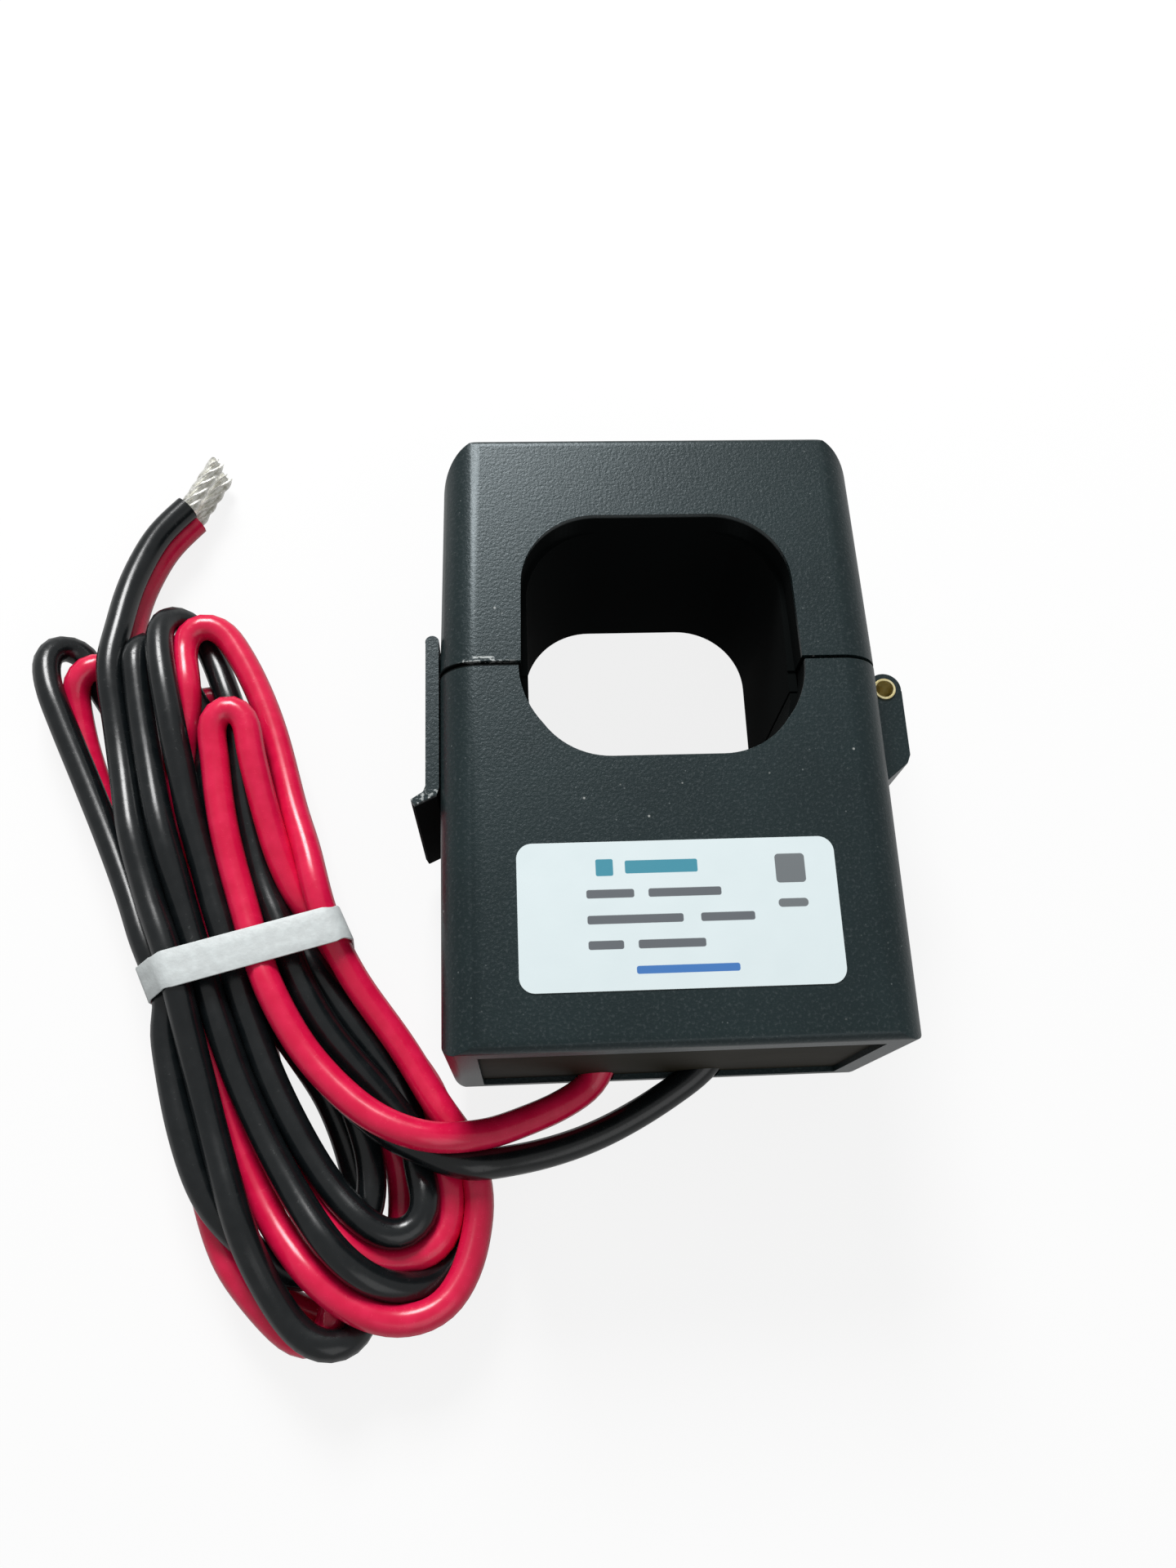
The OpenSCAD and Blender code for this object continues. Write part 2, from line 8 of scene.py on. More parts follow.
import bpy
import numpy as np
from mathutils import Euler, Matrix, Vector


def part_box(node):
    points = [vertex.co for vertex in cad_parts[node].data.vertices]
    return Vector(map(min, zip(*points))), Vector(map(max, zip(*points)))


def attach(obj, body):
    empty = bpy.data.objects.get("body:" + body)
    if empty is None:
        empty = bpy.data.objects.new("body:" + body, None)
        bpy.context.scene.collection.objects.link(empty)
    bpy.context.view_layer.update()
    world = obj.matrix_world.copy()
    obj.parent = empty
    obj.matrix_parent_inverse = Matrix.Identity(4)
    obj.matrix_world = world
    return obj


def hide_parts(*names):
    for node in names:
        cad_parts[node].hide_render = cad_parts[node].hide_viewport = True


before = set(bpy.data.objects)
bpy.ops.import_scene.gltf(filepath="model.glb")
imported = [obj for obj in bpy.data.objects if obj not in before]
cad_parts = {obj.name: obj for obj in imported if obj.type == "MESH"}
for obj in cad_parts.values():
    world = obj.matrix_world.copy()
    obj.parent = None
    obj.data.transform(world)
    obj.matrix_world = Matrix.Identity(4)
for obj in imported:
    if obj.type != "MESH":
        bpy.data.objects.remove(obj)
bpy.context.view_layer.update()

bl_info = {
    "name": "Split-Core Current Transformer",
    "version": (1, 0, 0),
    "blender": (4, 5, 0),
    "location": "View3D > Sidebar > Transformer",
    "description": "Dresses a hinged current transformer and winds its two leads into a hank",
    "category": "Object",
}

MM = 0.001

# Share of the floor's own white, the rest being lit and shadowed
FLOOR_WHITE = 0.85
# The floor's grey where it is looked at, and where it only throws light back
FLOOR_SEEN = (0.9, 0.9, 0.9)
FLOOR_LIT = (0.3, 0.3, 0.3)
# How much of the white the floor and the sky show in mirrored rays
FLOOR_MIRRORED = 0.5
SKY_MIRRORED = 0.15
WHITE = (1.0, 1.0, 1.0, 1.0)

# Area lamps: side of the square and place, in metres in the row frame
KEY_LAMP = (0.26, (-0.13, 0.53, 0.5))
FILL_LAMP = (0.5, (0.25, -0.45, 0.5))
LAMPS_AIM = (0.0, 0.0, 0.02)

# Camera: focal length, place in millimetres from the datum and turn in degrees
CAMERA_LENS = 28.68
CAMERA_SPOT = (-20.36, -71.03, 188.42)
CAMERA_TURN = (19.66, -2.76, -2.44)

# Datum: the middle of the conductor window, at the parting line, on the back face
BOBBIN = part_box("bobbin")
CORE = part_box("lower_core")
POLE_GAP = 0.05 * MM
DATUM = Vector(((BOBBIN[0].x + BOBBIN[1].x) / 2, CORE[1].y + POLE_GAP, 0.0))
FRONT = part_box("label")[0].z

# Conductor window with its mouth, in the row frame: middle, half size and corners; its walls
# get painted shade
WINDOW_MIDDLE = (DATUM.x, DATUM.y + 4.6 * MM)
WINDOW_HALF = (19.55 * MM, 18.25 * MM)
WINDOW_CORNER = 12.0 * MM

# Parting line's left part, from where its painted shade widens, its chip with a painted
# highlight round it, and the nick at the far right with its painted highlight
GAP_SHADE_START = DATUM.x - 24.0 * MM
CHIP_HIGHLIGHT = (DATUM.x - 24.6 * MM, DATUM.y + 0.75 * MM)
NICK_HIGHLIGHT = (DATUM.x + 33.6 * MM, DATUM.y - 0.5 * MM)

# Softening of the CAD's edges
WELD = 0.004 * MM
FLAT = math.radians(0.6)
CRISP = math.radians(32)
SMOOTH = math.radians(28)

# Leads, in millimetres from the datum: routes of the ends outside the hank
LEAD_MM = 4.2
EXIT_RED = ((-7.5, -44.8, 6), (-8.2, -47.8, 5.1), (-9.8, -51, 3.8), (-12.4, -53.5, 3),
            (-16, -55.3, 2.6), (-20.4, -56.8, 3.4))
EXIT_BLACK = ((9, -44.8, 6), (7.8, -47.8, 5.1), (5, -50.7, 3.9), (1, -53.4, 3),
              (-4, -56.2, 2.4), (-9.6, -58.8, 2.2), (-15.2, -60.6, 2.3), (-21, -61.8, 3.6),
              (-27.5, -62.2, 6.2))
TAIL_RED = ((-80.7, 14, 5), (-81.1, 20, 3.6), (-80.9, 27, 2.4), (-79, 34.2, 2.2),
            (-76, 39.4, 2.2), (-72.5, 43.6, 2.2))
TAIL_BLACK = ((-81.6, 14, 9.2), (-81.8, 20, 7.9), (-81.2, 28, 6.5), (-79.2, 34.9, 6.3),
              (-76.4, 39.8, 6.3), (-73, 43.8, 6.3))
TIP_ALONG = Vector((0.45, 0.893, 0.0))

# The hank's own axes: across to the right and along to its upper end, from the band
HANK = Vector((-60.0, -31.6, 0.0))
HANK_TURN = math.radians(24.15)
ACROSS = Vector((math.cos(HANK_TURN), math.sin(HANK_TURN), 0.0))
ALONG = Vector((-math.sin(HANK_TURN), math.cos(HANK_TURN), 0.0))

# Turns of the hank, in millimetres along its own axes (across, along, height):
# up a left leg, over the tip, down a right leg and round the bottom
TURNS_RED = (
    # up to the small front loop and down to the inner of the two right-hand bends
    (19.8, -39, 5.8), (15.8, -37.8, 8.2), (11.6, -34.6, 9.8), (7.6, -29.7, 10.8),
    (4.6, -23, 11), (2.8, -17, 10.8), (2.1, -11, 10.2), (1.9, -5.3, 10), (2.4, 0, 10),
    (3.2, 8, 10), (4.8, 18.2, 10.2), (7, 26, 10.4), (9.4, 32.6, 10.6), (12, 35.8, 10.6),
    (13.7, 33, 9.6), (12.4, 26, 8.6), (11, 18, 7.6), (10, 8, 6.6), (10.4, 0, 5.8),
    (11.6, -6, 3.6), (12.6, -11, 2.2), (14, -17, 2.1), (15.2, -24, 2.1), (15.4, -30, 2.1),
    (14.8, -36, 2.4), (13.8, -41, 3.8), (12.2, -46, 6), (8.6, -49.2, 7.4), (4.2, -50, 7.8),
    (0, -47.4, 7.8), (-3, -41.5, 7), (-5, -33.2, 6), (-5.4, -22, 5.8), (-4.8, -10, 5.8),
    # under the black loops to the low inner tip and down beside the gap
    (-4.2, 0, 5.4), (-2, 12, 4.6), (1.4, 24, 3.4), (4.4, 34, 2.8), (6.6, 41, 2.6),
    (9.4, 44, 2.6), (11.8, 41, 2.4), (12.6, 32, 2.1), (11.8, 18, 2.1), (10.6, 8, 2.1),
    (9.6, 0, 2.1), (9, -12, 2.1), (9.4, -24, 2.1), (8.8, -34, 2.1), (7.4, -39.5, 2.1),
    (5.4, -43.6, 2.1), (2.4, -47.2, 2.1), (-2.6, -50.6, 2.1), (-8.6, -50.6, 2.1),
    (-13, -46.6, 2.1), (-16, -39.6, 2.1), (-16.8, -31, 2.1), (-15.8, -20, 2.1),
    (-12.4, -8, 2.1),
    # across to the tall outer loop and round the widest bend
    (-10.2, 0, 2.1), (-7, 10, 2.1), (-2, 22, 2.4), (3.6, 32, 4.4), (7, 40, 7.4),
    (9.2, 48.6, 9.6), (12.6, 52.4, 10.4), (15.8, 49.6, 10.4), (17.2, 42, 9.8), (17, 31, 9.2),
    (15.2, 19, 8.8), (13.4, 8, 8.4), (12.4, 0, 8), (12.5, -6, 7), (12.8, -11, 6.4),
    (14.1, -17, 6.2), (15.5, -24, 6), (16, -30, 5.2), (16.4, -36, 4), (16.4, -43.4, 3.6),
    (14.2, -49.4, 5), (11, -53.4, 7), (6.4, -56.2, 7.6), (0.6, -55.2, 7.4), (-4.4, -51, 6.6),
    (-7.8, -44, 5.8), (-9.9, -36.4, 5.6), (-10.6, -26, 5.6), (-9.8, -13.3, 5.8),
    # to the left-hand tip and down under the rest to the lowest bend
    (-8.6, 0, 5.8), (-9.2, 10, 5.6), (-10.2, 20, 5.2), (-10.8, 31, 4.8), (-10.6, 41, 4.8),
    (-9.2, 49.6, 5.2), (-6.6, 54.6, 5.6), (-2.8, 54, 5), (-0.8, 48.6, 2.8), (-0.6, 38, 2.1),
    (0.2, 24, 2.1), (1.2, 10, 2.1), (0.6, 0, 2.1), (-1, -5, 2.1), (-2.8, -12, 2.1),
    (-5.8, -26, 2.1), (-6.4, -38, 2.1), (-6.2, -46.6, 2.1), (-7.6, -52.6, 2.1),
    (-10.4, -53.6, 2.6), (-13.8, -49.6, 3.6), (-16.2, -42.6, 4.6), (-17, -34.6, 4.8),
    (-16.2, -24, 4), (-13, -12, 3), (-8.4, 0, 2.4), (-6.2, 12, 3.6), (-4, 26, 5),
    (-1.2, 39, 5.6),
)
TURNS_BLACK = (
    # beside the red loop, then up through the gap to the innermost long bend
    (13.4, -38, 6.2), (9.6, -33.6, 6.8), (7.2, -28.6, 6.6), (4.4, -22.4, 6.2), (2.6, -16, 5.8),
    (1.6, -8, 5.6), (1.6, 0, 5.8), (2, 8, 6.2), (3, 17, 6.6), (4.2, 26, 6.2), (5.8, 31.6, 6),
    (7.7, 35, 6), (9.9, 36, 5.8), (11.6, 33.4, 5.6), (11, 28, 5.6), (9.4, 22, 5.6),
    (7.9, 15, 6.2), (6.9, 7, 7.2), (6.6, 0, 8), (5.6, -7, 7.8), (6.3, -14, 7.4),
    (7.9, -21, 6.8), (9.9, -27, 5.6), (11.7, -34, 4.6), (12, -38, 5.2), (10.9, -42, 7),
    (8.2, -45.2, 8.4), (4.8, -45.7, 9), (2.2, -43.6, 9.2), (0.4, -40, 9.4), (-1.3, -34.4, 9.6),
    (-2.4, -26, 9.8), (-2.9, -18, 9.8), (-2.5, -9, 9.8),
    # the highest black tip and the bend outside the last one
    (-1.5, 0, 9.8), (-0.6, 8, 9.8), (1.2, 22, 9.8), (3.4, 34, 9.8), (5.4, 43, 9.6),
    (7, 51.6, 9.2), (9.4, 56, 8.2), (12, 54.6, 6.2), (13, 48, 5.4), (12.5, 39, 5.4),
    (11.6, 28, 5.4), (10.2, 14, 5), (8.8, 0, 5.4), (8.3, -7, 6.2), (9.4, -13.5, 6.4),
    (11.3, -22.5, 5.8), (12.3, -29, 4.6), (13.4, -36, 3), (14, -43, 2.6), (12.8, -49.2, 4.2),
    (8.6, -52.8, 5.6), (4, -53, 6.4), (0.4, -50.5, 7), (-2.7, -45.2, 7.6), (-5.3, -35, 8.4),
    (-6.6, -22, 9), (-6.4, -9, 9.4),
    # the tip next to it, then wide and low round the outside
    (-5.6, 0, 9.6), (-5, 9, 9.5), (-3.5, 22.4, 9.3), (-1.5, 34, 8.9), (0.4, 44, 8.5),
    (2.2, 51.6, 8), (5, 53.8, 6.6), (7, 49.4, 4.8), (7.4, 39, 3.4), (7.4, 26, 2.3),
    (6.4, 12, 2.1), (5.2, 0, 2.1), (5, -12, 2.1), (5.8, -22, 3.6), (5.5, -30, 5),
    (5, -34.4, 5), (3.2, -39, 5), (-0.6, -43.4, 5), (-7.6, -45.4, 4), (-13, -40.4, 3.4),
    (-16, -31.6, 4.6), (-16.2, -22, 5.4), (-14.6, -10, 5.8),
    # the left-hand tip and the last bend, out under the red one
    (-12.8, 0, 5.8), (-11.4, 9, 6.2), (-11.3, 22, 6.8), (-11.5, 36, 7.2), (-11.6, 48.4, 7.6),
    (-10.8, 57, 7.8), (-8, 60.8, 7.6), (-5.4, 57.4, 5.6), (-3.8, 48, 2.6), (-4, 36, 2.1),
    (-3.2, 22, 2.1), (-2.6, 10, 2.1), (-2.1, 1, 4.6), (-1, -5, 6.2), (0.6, -12, 4.2),
    (2.7, -21, 2.1), (2.9, -28, 2.1), (2, -35, 2.1), (0.8, -42, 2.1), (-0.8, -49.4, 2.1),
    (-4.6, -53.8, 2.6), (-8.8, -54.4, 4.8), (-12, -50, 6.8), (-13.3, -42, 7.8),
    (-13.4, -33, 8.4), (-12, -20, 8.8), (-10.2, -8, 9.1), (-9.1, 0, 9.3), (-8.6, 9, 9.6),
    (-7, 24, 9.8), (-4.2, 39, 9.8),
)

# The tie, in millimetres: slant across the hank, width, thickness, half its reach to either
# side, and how far its middle lies right of and below the hank's own
BAND_SLANT = math.tan(math.radians(-8.8))
BAND_WIDTH = 5.2
BAND_SKIN = 0.4
BAND_HALF = 14.4
BAND_SHIFT = 0.8
BAND_ALONG = -1.1
# Slack of the tie on the strands, its least height and the waviness of its edges
BAND_SLACK = 0.05
BAND_LOWEST = 0.06
BAND_WAVE = 0.25

# Straight cuts between two key points of a lead
SPLINE_CUTS = 12
# Settling: spacing of the leads' points, rounds, points held at each end, and the shares of
# a gap, a bend, a stretch and a drift that one round puts right
STEP = 2.5
ROUNDS = 300
HELD = 4
PUSH = 0.3
BEND_EASE = 0.15
KINK_EASE = 0.5
STRETCH = 0.4
HOMEWARD = 0.06
SINK = 0.005
# Tightest easy bend, in diameters, and the width that the tie gives up away from itself
EASY_BEND = 1.15
UNTIED = 300.0

# Tinned ends, in metres: length, strand, ring of strands and the turn over the length
TIP_LENGTH = 9.5 * MM
STRAND_RADIUS = 0.56 * MM
STRAND_RING = 0.8 * MM
CORE_RADIUS = STRAND_RING - 0.1 * MM
STRAND_TURN = math.radians(230)
STRAND_STEPS = 28


def at(x, y, z=0.0):
    """Point in the row frame from millimetres about the datum."""
    return DATUM + Vector((x, y, z)) * MM


def in_hank(across, along, height):
    """Point in millimetres about the datum from the hank's own axes."""
    p = HANK + ACROSS * across + ALONG * along
    return (p.x, p.y, height)


# ---- Shader maths ----


class Value:
    """A shader socket that takes Python's arithmetic, adding Math nodes as it goes."""

    def __init__(self, look, socket):
        self.look = look
        self.socket = socket

    def math(self, operation, *others):
        """Math node of the given operation on this value and the others."""
        inputs = dict(enumerate([self, *others]))
        return self.look.node("ShaderNodeMath", {"operation": operation}, inputs)

    def __add__(self, other):
        return self.math("ADD", other)

    def __sub__(self, other):
        return self.math("SUBTRACT", other)

    def __mul__(self, other):
        return self.math("MULTIPLY", other)

    def __rsub__(self, other):
        return self * -1.0 + other

    __radd__ = __add__
    __rmul__ = __mul__

    def size(self):
        return self.math("ABSOLUTE")

    def at_most(self, other):
        return self.math("MINIMUM", other)

    def at_least(self, other):
        return self.math("MAXIMUM", other)

    def ramp(self, low, high):
        """0 below low, 1 above high, smooth between; low above high turns it round."""
        if low > high:
            return 1.0 - self.ramp(high, low)
        inputs = {"Value": self, "From Min": low, "From Max": high}
        smooth = {"interpolation_type": "SMOOTHSTEP"}
        return self.look.node("ShaderNodeMapRange", smooth, inputs)


class Look:
    """One procedural material or world, built up node by node."""

    def __init__(self, name, store=None):
        store = bpy.data.materials if store is None else store
        self.made = store.new(name)
        self.made.use_nodes = True
        self.tree = self.made.node_tree
        self.tree.nodes.clear()
        self.coordinates = None

    def node(self, kind, settings=None, inputs=None, output=0):
        """Adds a node: settings first, then the values or links of its sockets."""
        made = self.tree.nodes.new(kind)
        for name, value in (settings or {}).items():
            setattr(made, name, value)
        for name, value in (inputs or {}).items():
            socket = made.inputs[name]
            if isinstance(value, Value):
                self.tree.links.new(value.socket, socket)
            else:
                socket.default_value = value
        return Value(self, made.outputs[output])

    def place(self):
        """Object coordinates, in metres in the row frame."""
        if self.coordinates is None:
            self.coordinates = self.node("ShaderNodeTexCoord", output="Object")
        return self.coordinates

    def axes(self):
        """The three object coordinates as numbers."""
        split = self.tree.nodes.new("ShaderNodeSeparateXYZ")
        self.tree.links.new(self.place().socket, split.inputs[0])
        return [Value(self, s) for s in split.outputs]

    def noise(self, grain_mm, detail=2.0, rough=0.5):
        """Cloudy pattern from 0 to 1 whose lumps are about the given size."""
        inputs = {"Vector": self.place(), "Scale": 1.0 / (grain_mm * MM),
                  "Detail": detail, "Roughness": rough}
        return self.node("ShaderNodeTexNoise", None, inputs, "Fac")

    def cells(self, pitch_mm):
        """Distance from scattered points, as a share of their spacing."""
        inputs = {"Vector": self.place(), "Scale": 1.0 / (pitch_mm * MM)}
        return self.node("ShaderNodeTexVoronoi", None, inputs, "Distance")

    def rays(self):
        """1 for rays from the eye, and 1 for mirrored or refracted ones."""
        kinds = ("Is Camera Ray", "Is Glossy Ray", "Is Transmission Ray")
        eye, glossy, through = (self.node("ShaderNodeLightPath", output=kind) for kind in kinds)
        return eye, glossy + through

    def mix(self, share, first, second):
        """Colour between first and second."""
        made = self.tree.nodes.new("ShaderNodeMix")
        made.data_type = "RGBA"
        for socket, value in ((made.inputs[0], share), (made.inputs[6], first),
                              (made.inputs[7], second)):
            if isinstance(value, Value):
                self.tree.links.new(value.socket, socket)
            else:
                socket.default_value = value if socket is made.inputs[0] else (*value[:3], 1.0)
        return Value(self, made.outputs[2])

    def bump(self, height, depth_mm, strength=1.0):
        """Normal of a surface with the given relief."""
        inputs = {"Height": height, "Distance": depth_mm * MM, "Strength": strength}
        return self.node("ShaderNodeBump", None, inputs)

    def finish(self, shade=None, **surface):
        """Ends the material in a Principled surface; where shade is 1 it takes a painted shade,
        dull and near black.
        """
        inputs = {name.replace("_", " ").title().replace("Ior", "IOR"): value
                  for name, value in surface.items()}
        if isinstance(inputs["Base Color"], tuple):
            inputs["Base Color"] = (*inputs["Base Color"], 1.0)
        shader = self.node("ShaderNodeBsdfPrincipled", None, inputs)
        if shade is not None:
            painted_shade_surface = self.node("ShaderNodeBsdfPrincipled", None, {
                "Base Color": (0.003, 0.004, 0.004, 1.0), "Roughness": 0.9,
                "Specular IOR Level": 0.05})
            shader = self.blend(shade, shader, painted_shade_surface)
        return self.end(shader)

    def blend(self, share, first, second):
        """Surface between first and second."""
        return self.node("ShaderNodeMixShader", None, {0: share, 1: first, 2: second})

    def end(self, shader, kind="ShaderNodeOutputMaterial"):
        """Leads a shader to the output."""
        out = self.tree.nodes.new(kind)
        self.tree.links.new(shader.socket, out.inputs["Surface"])
        return self.made


def colour(value):
    """A colour property as three plain numbers."""
    return tuple(round(c, 5) for c in value[:3])


def inside(along_x, along_y, middle, half, corner, soft):
    """1 inside a rectangle with round corners, 0 outside; sizes in metres."""
    dx = ((along_x - middle[0]).size() - (half[0] - corner)).at_least(0.0)
    dy = ((along_y - middle[1]).size() - (half[1] - corner)).at_least(0.0)
    away = (dx * dx + dy * dy).math("SQRT")
    return away.ramp(corner + soft, corner - soft)


# ---- Finishes ----


def case_plastic(name, tone, wear_and_highlights, shaded):
    """Near-black moulded plastic with a fine spark-eroded grain and a little dust."""
    look = Look(name)
    x, y, z = look.axes()
    grain = look.noise(0.42, 3.0, 0.65)
    cloud = look.noise(14.0, 3.0, 0.55)
    dust = look.cells(3.1).ramp(0.07, 0.03) * look.noise(5.0, 1.0).ramp(0.5, 0.62)
    specks = look.cells(0.9).ramp(0.16, 0.08) * look.noise(2.2, 2.0).ramp(0.56, 0.7)
    body = look.mix(cloud.ramp(0.3, 0.75) * 0.5, tone, tuple(c * 1.45 for c in tone))
    body = look.mix(grain.ramp(0.5, 0.75) * 0.3, body, (0.09, 0.105, 0.11))
    body = look.mix(specks * 0.35, body, (0.3, 0.33, 0.33))
    body = look.mix(dust * 0.7, body, (0.5, 0.52, 0.5))
    # Paler edge marks: chips and wear, with painted highlights on them
    body = look.mix(wear_and_highlights(look, x, y, z), body, (0.5, 0.53, 0.52))
    rough = 0.25 + grain * 0.14 + cloud * 0.05
    # Painted shade where shaded gives 1
    return look.finish(shade=shaded(x, y, z), base_color=body, roughness=rough,
                       specular_ior_level=0.42, specular_tint=(0.84, 0.95, 1.0, 1.0),
                       normal=look.bump(grain + cloud * 0.4, 0.05, 1.0))


def parting_chips_and_highlights(look, x, y, z):
    """Bright marks where lid and lower case meet on the front edges: chipped spots with painted
    highlights round them, and painted highlights along the edge and on the notch at the far
    right.
    """
    up = y - DATUM.y
    front = z.ramp(FRONT - 1.4 * MM, FRONT - 0.4 * MM)
    rim = inside(x, y, CHIP_HIGHLIGHT, (2.1 * MM, 0.42 * MM), 0.3 * MM, 0.1 * MM)
    heart = inside(x, y, CHIP_HIGHLIGHT, (1.4 * MM, 0.16 * MM), 0.14 * MM, 0.08 * MM)
    line = (up - 0.25 * MM).size().ramp(0.5 * MM, 0.25 * MM)
    beside = (x - (CHIP_HIGHLIGHT[0] + 1.0 * MM)).size().ramp(4.4 * MM, 3.0 * MM)
    nick_highlight = inside(x, y, NICK_HIGHLIGHT, (1.7 * MM, 0.2 * MM), 0.2 * MM, 0.1 * MM)
    patchy = look.noise(0.5, 2.0).ramp(0.44, 0.56)
    chips_and_highlights = (rim - heart).at_least(0.0) * patchy + line * beside * patchy * 0.5 + nick_highlight * 0.7
    return (chips_and_highlights * front).at_most(0.85)


def shaded_gaps(x, y, z):
    """Painted shade, dull and near black: the unlit walls of the window and the widening gap at
    the left of the parting line.
    """
    bore_shade = inside(x, y, WINDOW_MIDDLE, WINDOW_HALF, WINDOW_CORNER, 0.2 * MM)
    bore_shade = bore_shade * z.ramp(FRONT - 0.5 * MM, FRONT - 1.0 * MM)
    up = y - DATUM.y
    top = (x - GAP_SHADE_START).ramp(0.0, -11.0 * MM) * (0.75 * MM) + 0.42 * MM
    gap = (up + 0.22 * MM).ramp(-0.06 * MM, 0.06 * MM) * (top - up).ramp(-0.06 * MM, 0.06 * MM)
    gap = gap * x.ramp(DATUM.x - 15.0 * MM, DATUM.x - 16.0 * MM)
    gap = gap * z.ramp(FRONT - 7.0 * MM, FRONT - 5.6 * MM)
    return bore_shade.at_least(gap)


def wear_and_highlight_on_lip(look, x, y, z):
    """Paler edges on the clip's finger lip and along its strip: rubbed wear with a painted
    highlight on its top face.
    """
    low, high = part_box("latch_clip")
    top = z.ramp(high.z - 0.5 * MM, high.z - 0.2 * MM)
    crest = y.ramp(low.y + 2.6 * MM, low.y + 1.9 * MM)
    left = x.ramp(low.x + 2.6 * MM, low.x + 2.2 * MM)
    wear_and_highlights = look.noise(0.5, 2.0)
    return top * (crest * wear_and_highlights.ramp(0.53, 0.62) * 0.65 + left * wear_and_highlights.ramp(0.62, 0.7) * 0.35)


def shaded_lip(_x, y, z):
    """Painted shade on the underside of the finger lip, which faces away from the light."""
    low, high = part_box("latch_clip")
    lip = y.ramp(low.y + 7.6 * MM, low.y + 6.4 * MM)
    return lip * z.ramp(high.z - 0.4 * MM, high.z - 0.9 * MM)


def pvc(name, tone, light, shine):
    """Glossy wire insulation with slight ripples from the extruder."""
    look = Look(name)
    ripple = look.noise(2.4, 2.0, 0.5)
    scuff = look.noise(0.6, 2.0, 0.6).ramp(0.62, 0.78)
    body = look.mix(ripple.ramp(0.3, 0.75) * 0.6, tone, light)
    rough = shine + ripple * 0.1 + scuff * 0.18
    return look.finish(base_color=body, roughness=rough, specular_ior_level=0.5,
                       normal=look.bump(ripple + scuff * 0.2, 0.05, 0.35))


def tinned_strand(name):
    """Solder-dipped copper: bright ridges and dull grey hollows."""
    look = Look(name)
    lumps = look.noise(0.9, 3.0, 0.6)
    body = look.mix(lumps.ramp(0.35, 0.6), (0.66, 0.65, 0.59), (0.97, 0.97, 0.92))
    return look.finish(base_color=body, metallic=0.55, roughness=0.3 + lumps * 0.2,
                       normal=look.bump(lumps, 0.2, 0.9))


def brass(name):
    """Pale turned brass, with painted shade down the hole of the tube."""
    look = Look(name)
    x, y, z = look.axes()
    low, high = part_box("hinge_pin")
    dx = x - (low.x + high.x) / 2
    dy = y - (low.y + high.y) / 2
    radius = (high.x - low.x) / 2
    bore_shade = (dx * dx + dy * dy).math("SQRT").ramp(radius - 0.42 * MM, radius - 0.5 * MM)
    bore_shade = bore_shade * z.ramp(high.z - 0.2 * MM, high.z - 0.7 * MM)
    cloud = look.noise(1.6, 3.0, 0.6)
    body = look.mix(cloud.ramp(0.35, 0.75), (0.78, 0.67, 0.33), (0.93, 0.86, 0.55))
    return look.finish(shade=bore_shade * 0.9, base_color=body, metallic=0.85,
                       roughness=0.3 + cloud * 0.15,
                       normal=look.bump(look.noise(0.3), 0.02, 0.4))


def tie_tape(name):
    """Flat white satin tape with faint creases across its width."""
    look = Look(name)
    crease = look.noise(1.3, 3.0, 0.55)
    body = look.mix(crease.ramp(0.35, 0.7), (0.62, 0.66, 0.66), (0.68, 0.73, 0.73))
    return look.finish(base_color=body, roughness=0.38 + crease * 0.15,
                       normal=look.bump(crease, 0.2, 0.45))


def poured_resin(name):
    """Dark glossy potting with a slightly wavy skin."""
    look = Look(name)
    wave = look.noise(9.0, 2.0, 0.4)
    fleck = look.noise(0.5, 2.0).ramp(0.66, 0.74)
    body = look.mix(wave, (0.014, 0.0125, 0.008), (0.026, 0.023, 0.015))
    body = look.mix(fleck * 0.3, body, (0.12, 0.11, 0.09))
    return look.finish(base_color=body, roughness=0.6 + fleck * 0.2, specular_ior_level=0.06,
                       normal=look.bump(wave, 0.4, 0.4))


def lapped_steel(name):
    """Wound strip: fine laminations seen on the pole faces."""
    look = Look(name)
    x = look.axes()[0]
    strip = (x * (1.0 / (0.3 * MM))).math("FRACT").ramp(0.0, 0.2)
    stain = look.noise(3.0, 3.0)
    body = look.mix(strip, (0.2, 0.2, 0.21), (0.55, 0.56, 0.58))
    body = look.mix(stain.ramp(0.5, 0.8) * 0.3, body, (0.42, 0.36, 0.3))
    return look.finish(base_color=body, metallic=0.85, roughness=0.3 + stain * 0.2,
                       normal=look.bump(strip, 0.03, 0.4))


def enamelled_wire(name):
    """Close-wound copper, one turn beside the next along the yoke, with painted shade in the
    grooves between the turns.
    """
    look = Look(name)
    x = look.axes()[0]
    turn = ((x * (1.0 / (0.8 * MM))).math("FRACT") - 0.5).size().ramp(0.5, 0.1)
    body = look.mix(turn, (0.28, 0.1, 0.03), (0.72, 0.34, 0.14))
    return look.finish(base_color=body, metallic=0.7, roughness=0.28 + look.noise(2.0) * 0.1,
                       normal=look.bump(turn, 0.2, 0.9))


def plain_moulding(name, tone, roughness, grain_mm=0.5):
    """Plain plastic, foam or film of one colour."""
    look = Look(name)
    grain = look.noise(grain_mm, 3.0, 0.6)
    cloud = look.noise(8.0, 2.0)
    body = look.mix(cloud.ramp(0.3, 0.7), tuple(c * 0.86 for c in tone), tone)
    return look.finish(base_color=body, roughness=roughness + grain * 0.12,
                       normal=look.bump(grain, 0.03, 0.5))


